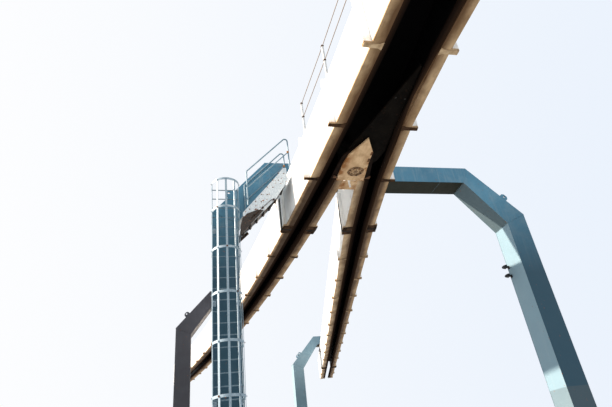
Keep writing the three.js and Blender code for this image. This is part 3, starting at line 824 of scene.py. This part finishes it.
corners = bmesh.new()
for angle, at in round_about(PIVOT - vertical(0.013), 0.153, 8, 0.5):
    bolt(corners, at, (0, 0, -1), 0.024, 0.014)
for x, hand in ((left_x(-2.56) + 0.115, 1), (right_x(-2.56) - 0.115, -1)):
    foot = [(x, -2.66, UNDERSIDE), (x + hand * 0.03, -2.66, UNDERSIDE),
            (x + hand * 0.13, -2.555, UNDERSIDE), (x, -2.555, UNDERSIDE)]
    raise_plate(corners, foot, (0, 0, -0.012))
for x, y in ((3.085, -3.55), (3.095, -3.30)):
    block(corners, (x, y, UNDERSIDE - 0.004), (0.045, 0.12, 0.008))
make_piece(corners, "frog_corner_gussets", rusty_iron, "flange_paint")

strap = bmesh.new()
of_left, of_right = GIRDERS["left_branch"]["edges"][1], GIRDERS["right_branch"]["edges"][0]
strap_plan = [edge(y, 0.02) for edge, y in
              ((of_left, -2.44), (of_right, -2.44), (of_right, -2.08), (of_left, -2.08))]
raise_plate(strap, [(*p, UNDERSIDE) for p in strap_plan], (0, 0, -0.014))
make_piece(strap, "fork_strap", fork_tan, "flange_paint")

sheet = bmesh.new()
near, far = left_x(FORK) + HALF_WIDTH - 0.03, right_x(FORK) - HALF_WIDTH + 0.03
sheet_outline = ((near, 7.70), (far, 7.70), (far, 8.869), (near, 8.869))
cut_sheet(sheet, sheet_outline, FORK - 0.008, 0.012)
make_piece(sheet, "fork_closing_sheet", seal_rubber, "girder_paint")

drain = bmesh.new()
rod(drain, (2.865, -2.42, UNDERSIDE + 0.01), (2.885, -2.40, 7.50), 0.024, 16)
collar_at = Matrix.Translation((2.866, -2.419, UNDERSIDE - 0.012))
turned(drain, collar_at, washer(0.02, 0.045, 0, 0.012), 20)
make_piece(drain, "fork_drain", white_paint, "girder_paint", smooth=True)

# %% [markdown]
# ## Bolts under the tongue
# The tongue is a thick plate with a wear plate bolted under it. The bolts are countersunk nearly
# flush, since only 10 mm lie between the tongue and the running plates. They ride on its body.

# %% Tongue bolts
TONGUE_TURN = math.radians(5.5)
TONGUE_UNDERSIDE = 7.7353
AHEAD = Vector((math.sin(TONGUE_TURN), -math.cos(TONGUE_TURN), 0))
ASIDE = Vector((math.cos(TONGUE_TURN), math.sin(TONGUE_TURN), 0))

hub = Vector((PIVOT.x, PIVOT.y, TONGUE_UNDERSIDE))
rows = {
    "tongue_bolts": (rail_steel, [(0.45, 0.30), (0.75, 0.33), (1.1, 0.27), (1.5, 0.22),
                                  (1.95, 0.15)]),
    "tongue_tip_bolts": (seal_rubber, [(2.4, 0.10)]),
}
for name, (coat, places) in rows.items():
    heads = bmesh.new()
    for ahead, half in places:
        for aside in (-half, half):
            bolt(heads, hub + AHEAD * ahead + ASIDE * aside, (0, 0, -1), 0.026, 0.006)
    make_piece(heads, name, coat, "tongue_steel", body="switch_tongue")

# %% [markdown]
# ## Welded seams of the portal and the supports
# The frames are boxes cut at a slant and welded at each knee. A weld is a thin bead, so a rod is
# sunk half into the joint.

# %% Weld beads
KNEES = [
    # name, outer face X, hand, middle Y, end of the beam's inner edge, bead coat, slot
    ("portal_left", -0.33, 1, 0.0, 4.42, steel_blue, "portal_paint"),
    ("portal_right", 9.17, -1, 0.0, 4.42, steel_blue, "portal_paint"),
    ("left_support", -1.69, 1, LEFT_SUPPORT_Y, 1.45, slate_paint, "support_paint"),
    ("right_support", 5.23, 1, RIGHT_SUPPORT_Y, 8.30, haze_paler_blue, "support_paint"),
]
# How far inwards of the outer face, and how high, the box's corners turn at a knee.
LEG_OUTSIDE, LEG_INSIDE = (0, 7.94), (0.66, 7.63)
BEAM_OUTSIDE, BEAM_INSIDE = (1.51, 9.62), (1.72, 9.07)
BOX_HALF = 0.345

for name, face, hand, middle, beam_end, coat, slot in KNEES:
    beads = bmesh.new()
    for y in (middle - BOX_HALF, middle + BOX_HALF):
        for mitre in ((LEG_OUTSIDE, LEG_INSIDE), (BEAM_OUTSIDE, BEAM_INSIDE)):
            rod(beads, *[(face + hand * across, y, z) for across, z in mitre], 0.007, 8)
        inner_edge = [(face + hand * across, z) for across, z in
                      ((LEG_INSIDE[0], 0.06), LEG_INSIDE, BEAM_INSIDE)]
        inner_edge.append((beam_end, BEAM_INSIDE[1]))
        sweep_tube(beads, [Vector((x, y, z)) for x, z in inner_edge], 0.006, 8)
    for across, z in (LEG_INSIDE, BEAM_INSIDE, LEG_OUTSIDE, BEAM_OUTSIDE):
        x = face + hand * across
        rod(beads, (x, middle - BOX_HALF, z), (x, middle + BOX_HALF, z), 0.007, 8)
    make_piece(beads, f"{name}_weld_beads", coat, slot, smooth=True)

splice = bmesh.new()
BEAM_BOTTOM, BEAM_TOP = BEAM_INSIDE[1], BEAM_OUTSIDE[1]
for x in (2.95, 6.64):
    for y in (-BOX_HALF, BOX_HALF):
        rod(splice, (x, y, BEAM_BOTTOM), (x, y, BEAM_TOP), 0.006, 8)
    for z in (BEAM_BOTTOM, BEAM_TOP):
        rod(splice, (x, -BOX_HALF, z), (x, BOX_HALF, z), 0.006, 8)
make_piece(splice, "crossbeam_splice_beads", haze_paler_blue, "portal_paint", smooth=True)

# %% [markdown]
# ## Feet
# Eight gussets stiffen every foot, and eight anchor bolts hold its plate down: washer, nut and
# the end of the threaded bar. One loop makes them all.

# %% Gussets and anchor bolts
FOOT_TOP = 0.04


def gusset_outline(leg_face):
    return (leg_face, FOOT_TOP), (0.52, FOOT_TOP), (0.52, 0.08), (leg_face, 0.42)


feet = {"portal_feet": ([(0, 0), (8.84, 0)], steel_blue, "portal_paint"),
        "left_support_foot": ([(-1.36, LEFT_SUPPORT_Y)], slate_paint, "support_paint"),
        "right_support_foot": ([(5.56, RIGHT_SUPPORT_Y)], haze_paler_blue, "support_paint")}
anchors = bmesh.new()
for name, (places, coat, slot) in feet.items():
    gussets = bmesh.new()
    for x, y in places:
        for aside, hand in product((-0.2, 0.2), (-1, 1)):
            cut_sheet(gussets, [(x + hand * out, z) for out, z in gusset_outline(0.328)],
                      y + aside - 0.01, 0.02)
            raise_plate(gussets, [(x + aside - 0.01, y + hand * out, z) for out, z in
                                  gusset_outline(0.343)], (0.02, 0, 0))
        for across, deep in product((-0.45, 0, 0.45), repeat=2):
            if across or deep:
                at = Vector((x + across, y + deep, FOOT_TOP))
                bolt(anchors, at, (0, 0, 1), 0.06, 0.04)
                rod(anchors, at, at + vertical(0.085), 0.018, 12)
    make_piece(gussets, name, coat, slot)
make_piece(anchors, "anchor_bolts", spotted_zinc)

# %% [markdown]
# ## Hanger bolts and side links
# A hanger's two plates are bolted to the beam above and the roof below. At the far support
# rusty links also hold the girder's sides: an eye bar with a ring at its end.

# %% Hanger bolts and links
def set_square(x, y, slope):
    """A place on a track with its own Y axis along the track."""
    return Matrix.Translation((x, y, 0)) @ Matrix.Rotation(-math.atan(slope), 4, "Z")


HANGERS = [(left_x, left_slope, 0), (left_x, left_slope, LEFT_SUPPORT_Y),
           (right_x, right_slope, 0), (right_x, right_slope, RIGHT_SUPPORT_Y)]
hanger_bolts = bmesh.new()
for x_of, slope_of, y in HANGERS:
    square = set_square(x_of(y), y, slope_of(y))
    for x, aside in product((-0.25, 0.25), (-0.18, 0.0, 0.18)):
        for z, up in ((8.9303, 1), (9.0397, -1)):
            bolt(hanger_bolts, square @ Vector((x, aside, z)), (0, 0, up), 0.04, 0.028)
make_piece(hanger_bolts, "hanger_bolts", rusty_iron, "support_paint")

links = bmesh.new()
for x in (7.09, 8.17):
    top, eye = Vector((x, 19.29, 9.075)), Vector((x, 19.29, 8.66))
    block(links, top - vertical(0.03), (0.14, 0.10, 0.06))
    rod(links, top, eye + vertical(0.06), 0.02, 10)
    turned(links, pointing(eye, (0, 1, 0)), washer(0.045, 0.08, -0.018, 0.018), 20)
    rod(links, eye - vertical(0.05), eye - vertical(0.16), 0.014, 10)
make_piece(links, "girder_side_links", burnt_iron, "support_paint", smooth=True)

# %% [markdown]
# ## Stair handrails
# The rails are bent tubes: a path of a few corners is given round bends, and one circle is
# extruded along it. They take the place of the sharp-cornered CAD rails.

# %% Bend the handrails
RAIL_PATH = [(0.556, 7.76), (0.556, 8.80), (1.75, 10.04), (1.75, 8.9456)]
KNEE_PATH = [(0.556, 8.28), (1.75, 9.495)]
RAIL_Y = {"near": -1.0695, "far": -0.3805}
for side, y in RAIL_Y.items():
    rail = bmesh.new()
    path = round_corners([(x, y, z) for x, z in RAIL_PATH], 0.07, 8)
    sweep_tube(rail, path, 0.019, 14)
    rod(rail, *[(x, y, z) for x, z in KNEE_PATH], 0.0145, 12)
    for x, z in ((0.556, 7.80), (0.556, 7.93), (1.75, 8.99)):
        rod(rail, (x, y - 0.030, z), (x, y + 0.030, z), 0.012, 8)
    made = make_piece(rail, f"stair_handrail_{side}", rail_zinc, smooth=True)
    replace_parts(made, f"stair_rail_{side}")

# %% [markdown]
# ## Under and beside the stair
# Two bolts hold each tread to each stringer. An apron plate deepens the stringer in front, a
# nearly black pan with cross ties closes the underside as painted shade under the treads, and the
# stair's foot stands on rusted brackets: outlines in X and Z, given a thickness. A loose end of
# conduit hangs from its clips.

# %% Stair bolts, pan and bracket
STAIR_LOW, STAIR_HIGH, TREADS = Vector((0.50, 0, 7.43)), Vector((1.49, 0, 8.79)), 7
stair_bolts = bmesh.new()
for i in range(TREADS):
    tread = STAIR_LOW.lerp(STAIR_HIGH, i / (TREADS - 1))
    for ahead in (-0.07, 0.08):
        for y, heading in ((-1.0502, -1), (-0.3998, 1)):
            bolt(stair_bolts, (tread.x + ahead, y, tread.z - 0.015), (0, heading, 0), 0.020, 0.014)
make_piece(stair_bolts, "stair_bolts", rusty_iron)

rail_clamps = bmesh.new()
for y in RAIL_Y.values():
    block(rail_clamps, (1.735, y, 9.485), (0.055, 0.05, 0.055))

# An outline in X and Z, the Y where it stands, and its thickness.
APRON = ([(0.42, 7.18), (1.235, 8.04), (1.645, 8.66), (1.69, 8.60), (1.31, 7.97), (0.50, 7.09)],
         -1.0505, -0.006)
SHADE_PAN = ([(0.43, 7.20), (1.235, 8.05), (1.64, 8.665), (1.625, 8.68), (1.22, 8.065), (0.42, 7.22)],
       -1.03, 0.61)
NEAR_BRACKET = ([(0.335, 6.90), (0.37, 6.92), (0.62, 7.22), (0.95, 7.60), (0.80, 7.62),
                 (0.52, 7.50), (0.40, 7.36), (0.35, 7.15)], -1.075, 0.022)
FAR_BRACKET = ([(0.335, 7.0), (0.37, 7.02), (0.62, 7.27), (0.50, 7.45), (0.40, 7.36), (0.35, 7.15)],
               -0.395, 0.022)
CROSS_TIES = ((0.47, 7.20), (0.66, 7.405), (0.84, 7.595), (1.03, 7.80), (1.20, 7.985),
              (1.38, 8.225), (1.56, 8.50))

apron = bmesh.new()
cut_sheet(apron, *APRON)
make_piece(apron, "stair_apron", spotted_zinc)

# The pan and its cross ties are nearly black: painted shade under the treads.
shade_pan = bmesh.new()
cut_sheet(shade_pan, *SHADE_PAN)
for x, z in CROSS_TIES:
    block(shade_pan, (x, -0.725, z), (0.05, 0.645, 0.035), Matrix.Rotation(math.radians(-47), 4, "Y"))
cut_sheet(shade_pan, *NEAR_BRACKET)
cut_sheet(shade_pan, *FAR_BRACKET)
make_piece(shade_pan, "stair_shade_pan_and_brackets", dark_iron_and_shade)

conduit = bmesh.new()
bends = [(x, -1.085, z) for x, z in ((0.62, 7.36), (1.08, 7.83), (1.24, 7.97), (1.30, 7.64))]
sweep_tube(conduit, round_corners(bends, 0.05, 5), 0.008, 8)
for x, z in ((0.70, 7.445), (0.93, 7.68), (1.24, 7.93)):
    block(conduit, (x, -1.075, z), (0.04, 0.035, 0.04))
rod(rail_clamps, (1.293, -1.085, 7.70), (1.315, -1.085, 7.60), 0.016, 8, 0.006)
make_piece(conduit, "stair_conduit", burnt_iron, smooth=True)
make_piece(rail_clamps, "rail_clamps", fresh_rust)

# %% [markdown]
# ## The roof walkway
# From the side a walkway is a thin line, but from above it is an open grating: bearing bars
# along the girder and thin rods across, in place of the closed CAD plate.

# %% Weave the grating
GRATING_START, GRATING_END, GRATING_BOTTOM = -6.48, -0.42, 8.903
BARS_AT, BARS_END = [0.045 + 0.0925 * i for i in range(7)], 0.605
RODS = 121
rods_at = [GRATING_START + i * (GRATING_END - GRATING_START) / (RODS - 1) for i in range(RODS)]
roof_edge = GIRDERS["turnout"]["edges"][0]
grating = bmesh.new()
for inwards in BARS_AT:
    edge_strip(grating, roof_edge, rods_at[::10], inwards, inwards + 0.006, GRATING_BOTTOM, 0.038)
for y in rods_at:
    near, far = roof_edge(y, BARS_AT[0])[0], roof_edge(y, BARS_END)[0]
    block(grating, ((near + far) / 2, y, GRATING_BOTTOM + 0.029), (far - near, 0.007, 0.018))
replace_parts(make_piece(grating, "walkway_grating", galvanised), "roof_walkway")

# %% [markdown]
# ## Ladder and cage
# Straps and hoops are bolted wherever they cross, so one loop over both places the bolts. The
# zinc has gone at every fourth. The ladder's stand-offs end in small plates on the leg.

# %% Cage bolts and ladder plates
CAGE_CENTRE_Y, CAGE_RADIUS = -0.85, 0.354
HOOPS, STRAPS = (2.2, 3.19, 4.31, 5.42, 6.54, 7.66, 8.48), (-85, -39, 0, 39, 85)
for name, coat, chosen in (("cage_bolts", galvanised, False),
                           ("rusted_cage_bolts", rusty_iron, True)):
    heads = bmesh.new()
    for i, (z, degrees) in enumerate(product(HOOPS, STRAPS)):
        if (i % 4 == 2) == chosen:
            angle = math.radians(degrees)
            outwards = Vector((math.sin(angle), -math.cos(angle), 0))
            crossing = Vector((0, CAGE_CENTRE_Y, z)) + outwards * (CAGE_RADIUS + 0.007)
            bolt(heads, crossing, outwards, 0.026, 0.014)
    make_piece(heads, name, coat)

ladder_plates = bmesh.new()
for z, hand in product((0.93, 3.17, 5.41, 7.37), (-1, 1)):
    block(ladder_plates, (hand * 0.285, -BOX_HALF - 0.006, z), (0.09, 0.012, 0.14))
    for up in (-0.045, 0.045):
        bolt(ladder_plates, (hand * 0.270, -BOX_HALF - 0.012, z + up), (0, -1, 0), 0.024, 0.014)
make_piece(ladder_plates, "ladder_plates", galvanised)

# %% [markdown]
# ## Safety rail
# Each post stands on a small bolted plate, and a dark clamp holds each rope to it: blocks at the
# CAD model's posts.

# %% Post plates and rope clamps
post_plates = bmesh.new()
clamps = bmesh.new()
for y in (-13.9, -12.5, -10.5, -8.5, -6.5, -4.45, -2.55):
    x = left_x(y) - 0.41
    block(post_plates, (x + 0.02, y, 8.907), (0.11, 0.10, 0.012))
    for aside in (-0.035, 0.035):
        bolt(post_plates, (x + 0.055, y + aside, 8.913), (0, 0, 1), 0.016, 0.010)
    for z in ROPE_HEIGHTS:
        block(clamps, (x, y, z), (0.055, 0.06, 0.035))
make_piece(post_plates, "rail_post_plates", white_paint)
make_piece(clamps, "rope_clamps", burnt_iron)

# %% [markdown]
# ## Floodlights
# Each small floodlight has a cast housing that narrows to the back, cooling fins, a glass, a
# visor and a stirrup on an arm. The housing starts as a cube whose back face is drawn in.

# %% Model the floodlights
LAMP_X, LAMP_Y, LAMP_FACE = 8.335, 0.25, 8.5097
for name, z in (("leg_lamp_upper", 6.43), ("leg_lamp_lower", 6.15)):
    lamp = bmesh.new()
    housing = block(lamp, (LAMP_X, LAMP_Y, z), (0.12, 0.14, 0.085))
    back = [v for v in housing if v.co.x < LAMP_X]
    bmesh.ops.scale(lamp, verts=back, vec=(1, 0.7, 0.5),
                    space=Matrix.Translation((-LAMP_X, -LAMP_Y, -z)))
    soften(lamp, 0.008, 2)
    for i in range(4):
        block(lamp, (8.300 + 0.018 * i, LAMP_Y, z + 0.028 + 0.005 * i), (0.005, 0.10, 0.03))
    block(lamp, (8.375, LAMP_Y, z + 0.048), (0.075, 0.15, 0.005))
    for y in (0.172, 0.328):
        block(lamp, (8.375, y, z - 0.005), (0.10, 0.006, 0.03))
    block(lamp, (8.425, LAMP_Y, z - 0.005), (0.006, 0.162, 0.03))
    rod(lamp, (8.42, 0.29, z), (LAMP_FACE, 0.29, z), 0.016, 12)
    block(lamp, (LAMP_FACE - 0.005, 0.29, z), (0.010, 0.09, 0.09))
    for y in (0.26, 0.32):
        bolt(lamp, (LAMP_FACE - 0.010, y, z + 0.028), (-1, 0, 0), 0.014, 0.010)
    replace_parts(make_piece(lamp, f"{name}_housing", lamp_black, "lamp_plastic", smooth=True), name)
    glass = bmesh.new()
    block(glass, (8.397, LAMP_Y, z), (0.006, 0.115, 0.062))
    make_piece(glass, f"{name}_glass", lamp_glass, "lamp_plastic")

# %% [markdown]
# ## Bolts of the end frames
# The frames at the open ends are where the next girder is bolted on, so bolts run up both
# sides and across the top.

# %% End frame bolts
frame_bolts = bmesh.new()
ENDS = [(left_x(-14), -14, 0, -1), (left_x(22), 22, left_slope(22), 1),
        (right_x(23.5), 23.5, right_slope(23.5), 1)]
for x, y, slope, outwards in ENDS:
    square = set_square(x, y, slope)
    heading = square.to_3x3() @ Vector((0, outwards, 0))
    places = [(side, 7.80 + 0.2 * i) for side in (-0.435, 0.435) for i in range(6)]
    places += [(0.145 * i, 8.92) for i in range(-2, 3)]
    for aside, z in places:
        bolt(frame_bolts, square @ Vector((aside, outwards * 0.0303, z)), heading, 0.036, 0.024)
make_piece(frame_bolts, "end_frame_bolts", spotted_zinc, "girder_paint")
